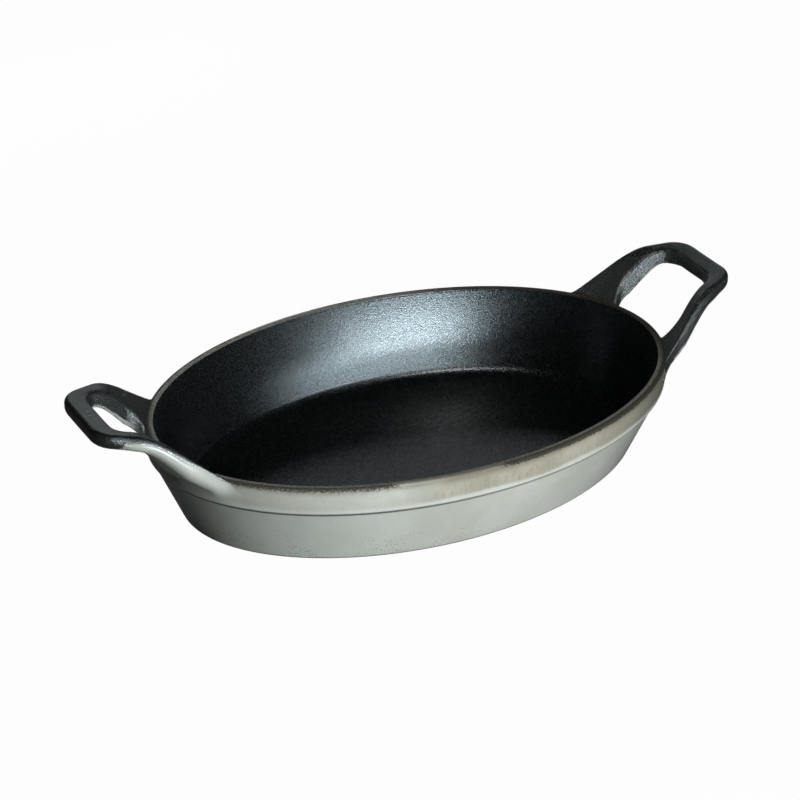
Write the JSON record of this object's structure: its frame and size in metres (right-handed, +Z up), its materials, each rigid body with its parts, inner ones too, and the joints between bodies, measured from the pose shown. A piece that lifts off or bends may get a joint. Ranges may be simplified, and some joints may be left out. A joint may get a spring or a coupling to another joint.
{
  "type": "oval baking dish",
  "caption": "Shallow oval gratin dish of enamelled cast iron with a banded bare rim, a matte black cooking cavity, a glossy grey outside and raised loop handles at its ends",
  "frame": {"origin": "under the middle of the base, on the plane the dish stands on", "axes": "+X runs through the handles to the right one, +Y to the far side of the bowl, +Z up out of the bowl"},
  "size_m": [0.359, 0.1906, 0.0771],
  "materials": {
    "bare_iron": "bare ground iron on the top of the rim, brown grey and matte",
    "black_enamel": "matte black enamel with a fine sandy texture",
    "grey_enamel": "glossy grey enamel with a slight green cast"
  },
  "bodies": {
    "root": {"iron_casting": "bare_iron", "interior_enamel": "black_enamel", "exterior_enamel": "grey_enamel", "base_enamel": "grey_enamel", "left_handle_enamel": "black_enamel", "right_handle_enamel": "black_enamel"}
  },
  "joints": []
}
